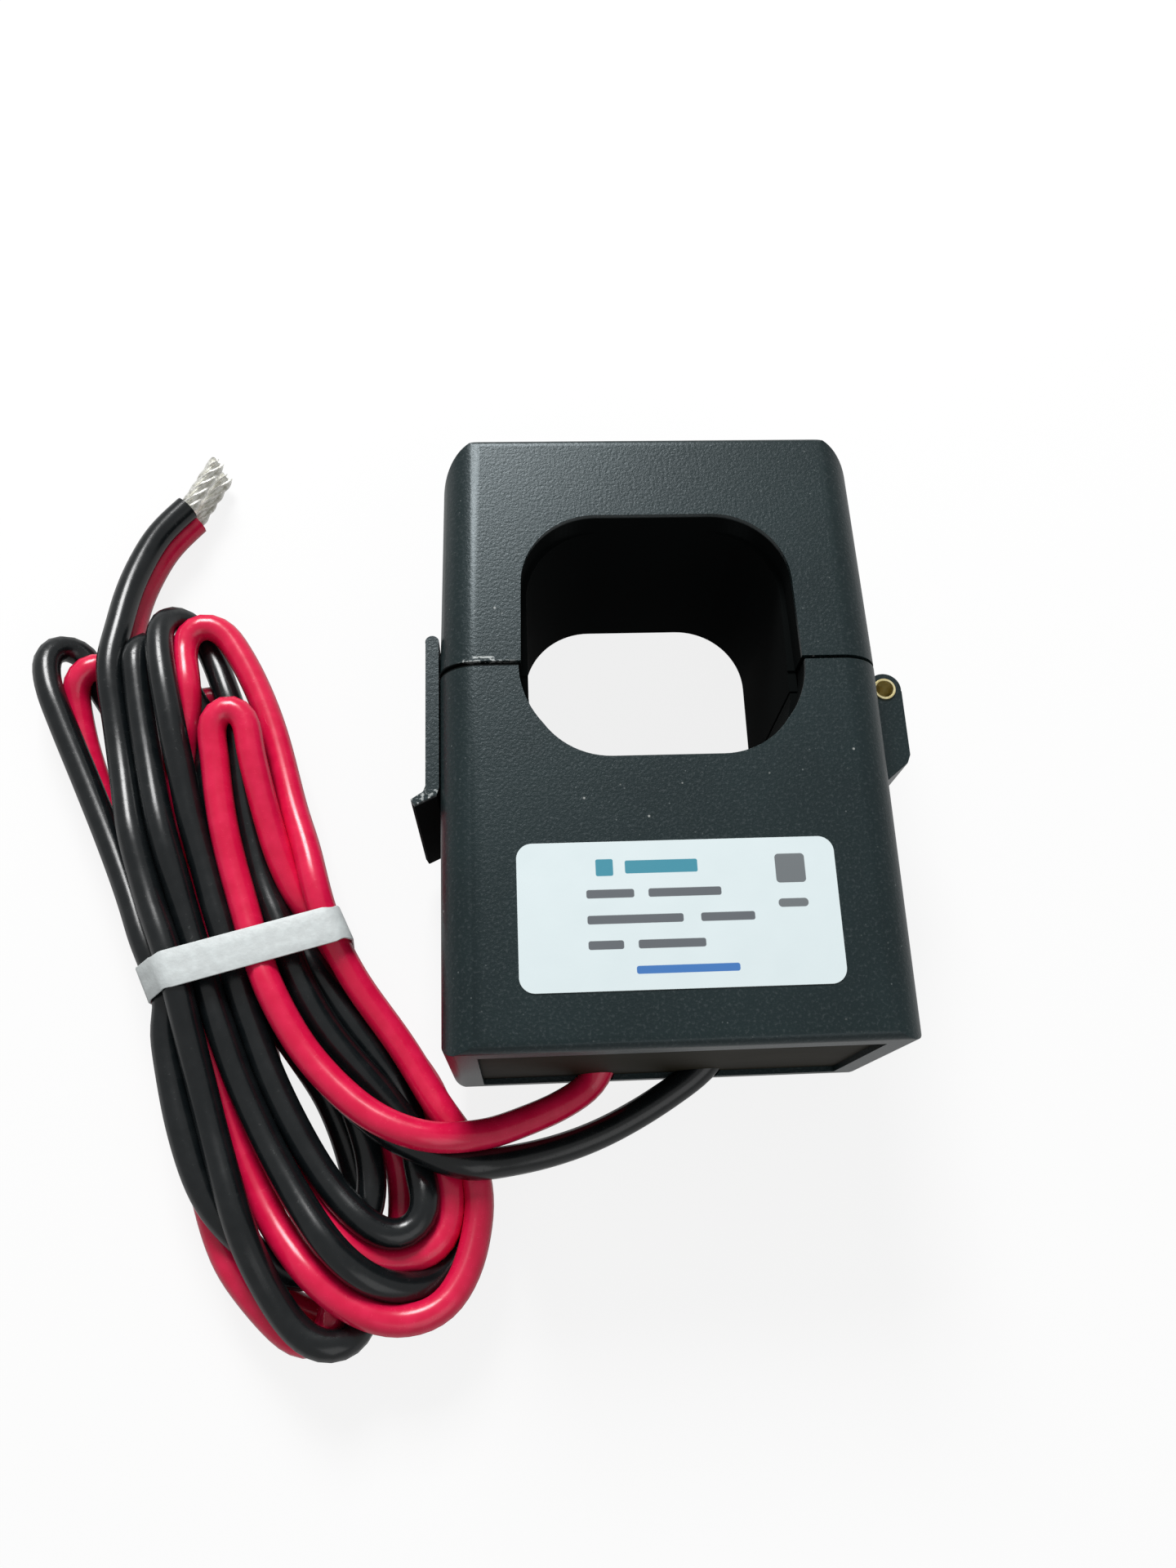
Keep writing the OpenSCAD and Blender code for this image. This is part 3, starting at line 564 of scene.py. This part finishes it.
def pale_floor(name):
    """White where it is looked at or mirrored, with the object's shadow; a plain grey else."""
    look = Look(name)
    eye, mirrored = look.rays()
    lit = look.mix(eye, FLOOR_LIT, FLOOR_SEEN)
    grey = look.node("ShaderNodeBsdfDiffuse", None, {"Color": lit})
    white = look.node("ShaderNodeEmission", None, {"Color": WHITE})
    return look.end(look.blend((eye + mirrored * FLOOR_MIRRORED) * FLOOR_WHITE, grey, white))


def pale_sky(name, strength):
    """Even light from all round, white where it is looked at."""
    look = Look(name, bpy.data.worlds)
    eye, mirrored = look.rays()
    even = look.node("ShaderNodeBackground", None, {"Color": WHITE, "Strength": strength})
    white = look.node("ShaderNodeBackground", None, {"Color": WHITE, "Strength": 1.0})
    return look.end(look.blend(eye + mirrored * SKY_MIRRORED, even, white),
                    "ShaderNodeOutputWorld")


# Plain bars in place of print: middle and half size from the label's centre, in millimetres
HEADING_BARS = ((-9.2, 6.1, 1.1, 1.1), (-2.0, 6.1, 4.6, 0.85))
TEXT_BARS = ((-8.6, 2.7, 3.0, 0.55), (0.8, 2.7, 4.6, 0.55), (-5.6, -0.6, 6.0, 0.55),
             (6.0, -0.6, 3.4, 0.55), (-9.4, -3.8, 2.2, 0.55), (-1.2, -3.8, 4.2, 0.55))
LINK_BARS = ((0.6, -7.0, 6.4, 0.5),)
BADGE_BARS = ((14.4, 5.4, 1.9, 1.9), (14.4, 0.9, 1.9, 0.55))


def printed_label(name):
    """White film with plain bars where its lines of print would be."""
    look = Look(name)
    x, y = look.axes()[:2]
    low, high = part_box("label")
    middle = (low + high) / 2

    def bars(rows, corner):
        """1 inside any of the bars."""
        share = None
        for u, v, half_u, half_v in rows:
            centre = (middle.x + u * MM, middle.y + v * MM)
            one = inside(x, y, centre, (half_u * MM, half_v * MM), corner * MM, 0.04 * MM)
            share = one if share is None else share.at_least(one)
        return share

    cloud = look.noise(6.0, 2.0)
    body = look.mix(cloud, (0.72, 0.82, 0.84), (0.77, 0.87, 0.89))
    body = look.mix(bars(TEXT_BARS, 0.3) * 0.9, body, (0.06, 0.065, 0.08))
    body = look.mix(bars(HEADING_BARS, 0.25) * 0.95, body, (0.02, 0.26, 0.36))
    body = look.mix(bars(LINK_BARS, 0.3) * 0.95, body, (0.02, 0.16, 0.5))
    body = look.mix(bars(BADGE_BARS, 0.5) * 0.9, body, (0.1, 0.11, 0.12))
    return look.finish(base_color=body, roughness=0.34 + cloud * 0.08,
                       normal=look.bump(look.noise(1.2), 0.02, 0.3))


# ---- Pieces ----


def deselect():
    """Leaves edit mode and selects nothing."""
    if bpy.context.mode != "OBJECT":
        bpy.ops.object.mode_set(mode="OBJECT")
    bpy.ops.object.select_all(action="DESELECT")


def only(piece):
    """Makes a piece the one selected, active object."""
    deselect()
    piece.select_set(True)
    bpy.context.view_layer.objects.active = piece


def paint(piece, material):
    """Gives a new piece its one material."""
    piece.data.materials.clear()
    piece.data.materials.append(material)


def apply_all(piece):
    """Applies the modifiers, then the object's own place and turn."""
    only(piece)
    for modifier in list(piece.modifiers):
        bpy.ops.object.modifier_apply(modifier=modifier.name)
    bpy.ops.object.transform_apply(location=True, rotation=True, scale=True)
    return piece


def repaint(material, *nodes):
    """Gives CAD nodes a procedural finish."""
    for node in nodes:
        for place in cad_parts[node].material_slots:
            place.link = "OBJECT"
            place.material = material


def installed(piece, material, body, slot, *nodes):
    """Paints a piece and puts it on its body in place of the CAD nodes."""
    paint(piece, material)
    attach(piece, body)
    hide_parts(*nodes)
    return piece


def softened(node, name, material, edge_mm, body, slot):
    """Copy of a CAD node with small round edges, in its place."""
    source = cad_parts[node]
    piece = bpy.data.objects.new(name, source.data.copy())
    bpy.context.collection.objects.link(piece)
    only(piece)
    bpy.ops.object.mode_set(mode="EDIT")
    bpy.ops.mesh.select_all(action="SELECT")
    bpy.ops.mesh.customdata_custom_splitnormals_clear()
    bpy.ops.mesh.remove_doubles(threshold=WELD)
    bpy.ops.mesh.dissolve_limited(angle_limit=FLAT)
    bpy.ops.object.mode_set(mode="OBJECT")
    edge = piece.modifiers.new("Edge", "BEVEL")
    edge.width = edge_mm * MM
    edge.segments = 3
    edge.limit_method = "ANGLE"
    edge.angle_limit = CRISP
    edge.miter_outer = "MITER_ARC"
    edge.use_clamp_overlap = True
    apply_all(piece)
    bpy.ops.object.shade_smooth_by_angle(angle=SMOOTH)
    level = piece.modifiers.new("Flat Faces", "WEIGHTED_NORMAL")
    level.keep_sharp = True
    apply_all(piece)
    return installed(piece, material, body, slot, node)


# ---- Leads ----


def spline(keys, step):
    """Evenly spaced points, a step apart, on a smooth curve through the keys."""
    keys = np.asarray(keys, float)
    last = len(keys) - 1
    fine = []
    for i in range(last):
        a, b, c, d = keys[max(i - 1, 0)], keys[i], keys[i + 1], keys[min(i + 2, last)]
        for t in np.linspace(0.0, 1.0, SPLINE_CUTS, endpoint=False):
            fine.append(0.5 * (2 * b + (c - a) * t + (2 * a - 5 * b + 4 * c - d) * t * t
                               + (3 * b - a - 3 * c + d) * t ** 3))
    fine = np.array(fine + [keys[last]])
    run = np.r_[0.0, np.cumsum(np.linalg.norm(np.diff(fine, axis=0), axis=1))]
    stations = np.linspace(0.0, run[-1], int(round(run[-1] / step)) + 1)
    return np.stack([np.interp(stations, run, fine[:, k]) for k in range(3)], axis=1)


def wound(start, turns, tail):
    """Key points of one lead: out of the case, round every turn of the hank and off its end."""
    return [*start, *(in_hank(*point) for point in turns), *tail]


def from_band(points):
    """How far points lie across the hank and along it, from the tie's slanted middle line."""
    offset = points[:, :2] - np.array(HANK[:2])
    across = offset @ np.array(ACROSS[:2])
    along = offset @ np.array(ALONG[:2]) - BAND_SLANT * across - BAND_ALONG
    return across, along


def under_band(points):
    """1 for points that the tie holds, fading to 0 a little way from it."""
    return np.clip(2.0 - np.abs(from_band(points)[1]) / BAND_WIDTH, 0.0, 1.0)


def part(points, one, two, width, free):
    """Pushes each pair of points that is closer than a width apart."""
    between = points[one] - points[two]
    gap = np.linalg.norm(between, axis=1) + 1e-9
    push = between / gap[:, None] * np.maximum(0.0, width - gap)[:, None] * PUSH
    moved = np.zeros_like(points)
    hits = np.zeros(len(points))
    for index, sign in ((one, 1.0), (two, -1.0)):
        np.add.at(moved, index, sign * push)
        np.add.at(hits, index, gap < width)
    points += moved / np.maximum(1.0, hits * 0.5)[:, None] * free


def unbend(points, bends, easy, free):
    """Eases bends, and most of all those sharper than the easy one."""
    middle = (points[bends] + points[bends + 2]) / 2 - points[bends + 1]
    kink = np.linalg.norm(middle, axis=1)
    ease = BEND_EASE + KINK_EASE * np.maximum(0.0, kink - easy) / (kink + 1e-9)
    points[bends + 1] += ease[:, None] * middle * free[bends + 1]


def keep_length(points, links, length, free):
    """Draws stretched or squeezed links back towards their own length."""
    run = points[links + 1] - points[links]
    far = np.linalg.norm(run, axis=1)
    fix = run * ((far - length) / far * STRETCH)[:, None]
    points[links] += fix * free[links]
    points[links + 1] -= fix * free[links + 1]


def settle(ropes, width, step):
    """Pushes strands apart until they lie on and beside each other, keeping their length."""
    counts = [len(rope) for rope in ropes]
    points = np.concatenate(ropes)
    home = points[:, :2].copy()
    owner = np.repeat(np.arange(len(ropes)), counts)
    order = np.concatenate([np.arange(count) for count in counts])
    to_end = np.concatenate([np.arange(count)[::-1] for count in counts])
    free = ((order >= HELD) & (to_end >= HELD)).astype(float)[:, None]
    links = np.flatnonzero(owner[1:] == owner[:-1])
    bends = links[:-1][links[1:] == links[:-1] + 1]
    length = np.linalg.norm(points[links + 1] - points[links], axis=1)
    strangers = owner[:, None] != owner[None]
    far_along = abs(order[:, None] - order[None]) > math.ceil(2.2 * width / step)
    floor = width / 2 + BAND_SKIN * under_band(points)
    easy = step ** 2 / (2 * EASY_BEND * width)
    for cycle in range(ROUNDS):
        if cycle % 4 == 0:
            gap = np.linalg.norm(points[:, None] - points[None], axis=2)
            near = (gap < 1.6 * width) & (strangers | far_along)
            one, two = np.nonzero(np.triu(near, 1))
        part(points, one, two, width, free)
        unbend(points, bends, easy, free)
        for _ in range(2):
            keep_length(points, links, length, free)
        points[:, :2] += (home - points[:, :2]) * HOMEWARD * free
        points[:, 2] -= SINK * free[:, 0]
        points[:, 2] = np.maximum(points[:, 2], floor)
        across = from_band(points)[0] - BAND_SHIFT
        room = BAND_HALF - width / 2 + UNTIED * (1.0 - under_band(points))
        out = np.sign(across) * np.maximum(0.0, np.abs(across) - room)
        points[:, :2] -= out[:, None] * np.array(ACROSS[:2])
    return [points[owner == rope] for rope in range(len(ropes))]


def eased(points, rounds=12):
    """Evens out the strand's bends without drawing its loops in."""
    points = points.copy()
    for _ in range(rounds):
        for share in (0.5, -0.52):
            middle = (points[2:] + points[:-2]) / 2 - points[1:-1]
            points[1:-1] += share * middle
    return points


def lead_points():
    """Settled centrelines of the red and the black lead, in millimetres about the datum."""
    red = spline(wound(EXIT_RED, TURNS_RED, TAIL_RED), STEP)
    black = spline(wound(EXIT_BLACK, TURNS_BLACK, TAIL_BLACK), STEP)
    return [eased(spline(rope, STEP / 2)) for rope in settle([red, black], LEAD_MM, STEP)]


def lead_piece(name, points, diameter, material, slot, *nodes):
    """Curve of one open spline along the points, swept to the lead's round section."""
    curve = bpy.data.curves.new(name, "CURVE")
    curve.dimensions = "3D"
    curve.bevel_depth = diameter / 2
    curve.bevel_resolution = 4
    curve.use_fill_caps = True
    run = curve.splines.new("POLY")
    run.points.add(len(points) - 1)
    for target, point in zip(run.points, points):
        target.co = (*at(*point), 1.0)
    run.use_smooth = True
    piece = bpy.data.objects.new(name, curve)
    bpy.context.collection.objects.link(piece)
    return installed(piece, material, "lower_half", slot, *nodes)


# ---- Settings ----


class CaseSettings(bpy.types.PropertyGroup):
    tone: bpy.props.FloatVectorProperty(
        name="Case Colour", description="Colour of the moulded case", subtype="COLOR",
        size=3, min=0.0, max=1.0, default=(0.0065, 0.0145, 0.0155))
    edge: bpy.props.FloatProperty(
        name="Edge Radius", description="Rounding of the mouldings' edges, in millimetres",
        default=0.3, min=0.05, max=0.6)


class LeadSettings(bpy.types.PropertyGroup):
    diameter: bpy.props.FloatProperty(
        name="Lead Diameter", description="Diameter over the insulation",
        default=LEAD_MM * MM, min=0.003, max=0.005, unit="LENGTH")
    red: bpy.props.FloatVectorProperty(
        name="Red", description="Colour of the red lead", subtype="COLOR",
        size=3, min=0.0, max=1.0, default=(0.72, 0.006, 0.06))
    black: bpy.props.FloatVectorProperty(
        name="Black", description="Colour of the black lead", subtype="COLOR",
        size=3, min=0.0, max=1.0, default=(0.004, 0.006, 0.007))
    strands: bpy.props.IntProperty(
        name="Strands", description="Outer strands of each tinned end",
        default=6, min=5, max=12)


class StageSettings(bpy.types.PropertyGroup):
    key: bpy.props.FloatProperty(
        name="Key Light", description="Power of the large soft light", default=5.3, min=0.0,
        unit="POWER")
    fill: bpy.props.FloatProperty(
        name="Fill Light", description="Power of the weaker light beside the camera",
        default=0.7, min=0.0, unit="POWER")
    sky: bpy.props.FloatProperty(
        name="Sky", description="Strength of the even light from all round", default=0.32,
        min=0.0, max=2.0)


# ---- Operators ----


class TRANSFORMER_OT_case(bpy.types.Operator):
    """Dress the lower case, the lid and the latch clip"""
    bl_idname = "transformer.case"
    bl_label = "Case"

    def execute(self, context):
        settings = context.scene.transformer_case
        tone = colour(settings.tone)
        # The case gets painted highlights on its parting edges and painted shade in its window
        # and parting gap; the clip gets a painted highlight and painted shade on its lip
        plastic = case_plastic("Case", tone, parting_chips_and_highlights, shaded_gaps)
        clip = case_plastic("Clip", tuple(c * 0.85 for c in tone), wear_and_highlight_on_lip, shaded_lip)
        softened("lower_housing", "Lower_Case", plastic, settings.edge, "lower_half", "case")
        softened("upper_housing", "Lid", plastic, settings.edge, "upper_half", "case")
        softened("latch_clip", "Latch", clip, settings.edge * 0.7, "latch", "clip")
        return {"FINISHED"}


class TRANSFORMER_OT_hinge(bpy.types.Operator):
    """Finish the hinge's brass tube"""
    bl_idname = "transformer.hinge"
    bl_label = "Hinge Pin"

    def execute(self, context):
        softened("hinge_pin", "Hinge_Tube", brass("Brass"), 0.08, "lower_half", "brass")
        return {"FINISHED"}


class TRANSFORMER_OT_label(bpy.types.Operator):
    """Lay the plain label on the front"""
    bl_idname = "transformer.label"
    bl_label = "Label"

    def execute(self, context):
        softened("label", "Front_Label", printed_label("Label"), 0.04, "lower_half", "label")
        return {"FINISHED"}


class TRANSFORMER_OT_inside(bpy.types.Operator):
    """Finish the core, the winding and the poured seal"""
    bl_idname = "transformer.inside"
    bl_label = "Core And Winding"

    def execute(self, context):
        steel = lapped_steel("Core_Strip")
        copper = enamelled_wire("Winding")
        sleeve = plain_moulding("Sleeve", (0.05, 0.05, 0.055), 0.35)
        repaint(steel, "lower_core", "upper_core")
        repaint(copper, "secondary_winding", "winding_ends")
        repaint(sleeve, "splice_sleeve_red", "splice_sleeve_black")
        repaint(plain_moulding("Bobbin", (0.78, 0.75, 0.66), 0.4), "bobbin")
        repaint(plain_moulding("Foam", (0.1, 0.1, 0.105), 0.85, 0.4), "core_pad")
        repaint(plain_moulding("Tape", (0.72, 0.58, 0.14), 0.25, 1.0), "winding_tape")
        repaint(poured_resin("Resin"), "potting_seal")
        return {"FINISHED"}


class TRANSFORMER_OT_leads(bpy.types.Operator):
    """Wind the two leads into their hank, with tinned ends"""
    bl_idname = "transformer.leads"
    bl_label = "Leads"

    def execute(self, context):
        settings = context.scene.transformer_leads
        runs = lead_points()
        red_pvc = pvc("Red_PVC", colour(settings.red), (0.86, 0.016, 0.09), 0.2)
        black_pvc = pvc("Black_PVC", colour(settings.black), (0.009, 0.011, 0.012), 0.2)
        red = lead_piece("Red_Lead", runs[0], settings.diameter, red_pvc, "red_insulation",
                         "lead_red", "tail_red", "lead_hank")
        black = lead_piece("Black_Lead", runs[1], settings.diameter, black_pvc,
                           "black_insulation", "lead_black", "tail_black")
        bright = tinned_strand("Tinned_Copper")
        red_end = tinned_end("Red_End", "tinned_end_red", TAIL_RED[-1],
                             settings.strands, bright)
        black_end = tinned_end("Black_End", "tinned_end_black", TAIL_BLACK[-1],
                               settings.strands, bright)
        band = tie_band("Hank_Tie", runs, tie_tape("Tie_Tape"))
        return {"FINISHED"}


def strand_piece(radius, offset, turn):
    """One strand of a tinned end, or its core where there is no offset."""
    deselect()
    bpy.ops.mesh.primitive_circle_add(vertices=12, radius=radius, location=(offset, 0, 0),
                                      rotation=(math.radians(90), 0, 0))
    piece = bpy.context.object
    bpy.ops.object.transform_apply(location=True, rotation=True)
    twist = piece.modifiers.new("Twist", "SCREW")
    twist.angle = STRAND_TURN
    twist.screw_offset = TIP_LENGTH
    twist.steps = STRAND_STEPS
    twist.render_steps = STRAND_STEPS
    twist.use_merge_vertices = False
    if not offset:
        only(piece)
        bpy.ops.object.mode_set(mode="EDIT")
        bpy.ops.mesh.select_all(action="SELECT")
        bpy.ops.transform.rotate(value=math.radians(90), orient_axis="X",
                                 center_override=(0, 0, 0))
        bpy.ops.object.mode_set(mode="OBJECT")
    apply_all(piece)
    piece.rotation_euler = (0, 0, turn)
    return apply_all(piece)


def tinned_end(name, node, root, strands, material):
    """Twisted strands dipped in solder, where the CAD has a plain bar."""
    pieces = [strand_piece(STRAND_RADIUS, STRAND_RING, math.tau * number / strands)
              for number in range(strands)]
    pieces.append(strand_piece(CORE_RADIUS, 0.0, math.tau))
    only(pieces[0])
    for one in pieces:
        one.select_set(True)
    bpy.ops.object.join()
    piece = bpy.context.object
    piece.name = name
    only(piece)
    bpy.ops.object.mode_set(mode="EDIT")
    bpy.ops.mesh.select_all(action="DESELECT")
    bpy.ops.mesh.select_mode(type="EDGE")
    bpy.ops.mesh.select_non_manifold()
    bpy.ops.mesh.fill_holes(sides=0)
    bpy.ops.mesh.select_all(action="SELECT")
    bpy.ops.mesh.normals_make_consistent(inside=False)
    bpy.ops.object.mode_set(mode="OBJECT")
    piece.rotation_euler = TIP_ALONG.to_track_quat("Z", "Y").to_euler()
    piece.location = at(*root)
    apply_all(piece)
    bpy.ops.object.shade_smooth_by_angle(angle=math.radians(40))
    return installed(piece, material, "lower_half", "tinned_copper", node)


def tie_band(name, runs, material):
    """Tape round the strands where they cross the band's slanted line."""
    held = []
    for run in runs:
        across, along = from_band(run)
        near = np.abs(along) < BAND_WIDTH / 2 + 0.6
        held.append(np.stack([across[near], run[near, 2]], axis=1))
    held = np.concatenate(held)
    deselect()
    bpy.ops.mesh.primitive_circle_add(vertices=72, radius=1.0, location=(0, 0, 0))
    piece = bpy.context.object
    piece.name = name
    bpy.ops.object.mode_set(mode="EDIT")
    for _ in range(3):
        bpy.ops.mesh.extrude_region_move(TRANSFORM_OT_translate={"value": (0, 0, 1 / 3)})
    bpy.ops.object.mode_set(mode="OBJECT")
    for corner in piece.data.vertices:
        way = np.array([corner.co.x, corner.co.y])
        across, height = held[np.argmax(held @ way)] + way * (LEAD_MM / 2 + BAND_SLACK)
        share = corner.co.z - 0.5
        wave = BAND_WAVE * math.sin(5 * math.atan2(way[1], way[0]))
        along = BAND_ALONG + BAND_SLANT * across + share * (BAND_WIDTH + wave)
        corner.co = at(*in_hank(across, along, max(height, BAND_LOWEST)))
    only(piece)
    bpy.ops.object.mode_set(mode="EDIT")
    bpy.ops.mesh.select_all(action="SELECT")
    bpy.ops.mesh.normals_make_consistent(inside=False)
    bpy.ops.object.mode_set(mode="OBJECT")
    skin = piece.modifiers.new("Thickness", "SOLIDIFY")
    skin.thickness = 0.3 * MM
    skin.offset = 1.0
    edge = piece.modifiers.new("Edge", "BEVEL")
    edge.width = 0.08 * MM
    edge.segments = 2
    apply_all(piece)
    bpy.ops.object.shade_smooth_by_angle(angle=math.radians(50))
    return installed(piece, material, "lower_half", "band", "hank_band")


class TRANSFORMER_OT_stage(bpy.types.Operator):
    """Set up the pale floor, the soft lights and the camera"""
    bl_idname = "transformer.stage"
    bl_label = "Stage"

    def execute(self, context):
        settings = context.scene.transformer_stage
        scene = context.scene
        scene.view_settings.view_transform = "Standard"

        deselect()
        bpy.ops.mesh.primitive_plane_add(size=6.0, location=(0, 0, -0.0002))
        floor = bpy.context.object
        floor.name = "Floor"
        paint(floor, pale_floor("Floor"))

        scene.world = pale_sky("Sky", settings.sky)

        for name, power, (size, spot) in (("Key", settings.key, KEY_LAMP),
                                          ("Fill", settings.fill, FILL_LAMP)):
            lamp = bpy.data.lights.new(name, "AREA")
            lamp.energy = power
            lamp.size = size
            lit = bpy.data.objects.new(name, lamp)
            bpy.context.collection.objects.link(lit)
            lit.location = spot
            away = Vector(spot) - Vector(LAMPS_AIM)
            lit.rotation_euler = away.to_track_quat("Z", "Y").to_euler()

        camera = bpy.data.cameras.new("Camera")
        camera.lens = CAMERA_LENS
        camera.clip_start = 0.01
        viewer = bpy.data.objects.new("Camera", camera)
        bpy.context.collection.objects.link(viewer)
        viewer.location = at(*CAMERA_SPOT)
        viewer.rotation_euler = Euler([math.radians(angle) for angle in CAMERA_TURN])
        scene.camera = viewer
        return {"FINISHED"}


STEPS = (TRANSFORMER_OT_stage, TRANSFORMER_OT_leads, TRANSFORMER_OT_case, TRANSFORMER_OT_hinge,
         TRANSFORMER_OT_label, TRANSFORMER_OT_inside)
SETTINGS = (("case", CaseSettings), ("leads", LeadSettings), ("stage", StageSettings))


class TRANSFORMER_PT_panel(bpy.types.Panel):
    """Settings and steps of the transformer"""
    bl_label = "Current Transformer"
    bl_idname = "TRANSFORMER_PT_panel"
    bl_space_type = "VIEW_3D"
    bl_region_type = "UI"
    bl_category = "Transformer"

    def draw(self, context):
        for name, group in SETTINGS:
            box = self.layout.box()
            for prop in group.__annotations__:
                box.prop(getattr(context.scene, "transformer_" + name), prop)
        for step in STEPS:
            self.layout.operator(step.bl_idname)


CLASSES = (*(group for _, group in SETTINGS), *STEPS, TRANSFORMER_PT_panel)


def register():
    """Adds the classes and the scene's settings."""
    for cls in CLASSES:
        bpy.utils.register_class(cls)
    for name, group in SETTINGS:
        setattr(bpy.types.Scene, "transformer_" + name, bpy.props.PointerProperty(type=group))


def unregister():
    """Takes them away again."""
    for name, _ in SETTINGS:
        delattr(bpy.types.Scene, "transformer_" + name)
    for cls in reversed(CLASSES):
        bpy.utils.unregister_class(cls)


def main():
    """Dresses the part step by step."""
    register()
    bpy.ops.transformer.stage()
    bpy.ops.transformer.leads()
    bpy.ops.transformer.case()
    bpy.ops.transformer.hinge()
    bpy.ops.transformer.label()
    bpy.ops.transformer.inside()


if __name__ == "__main__":
    main()
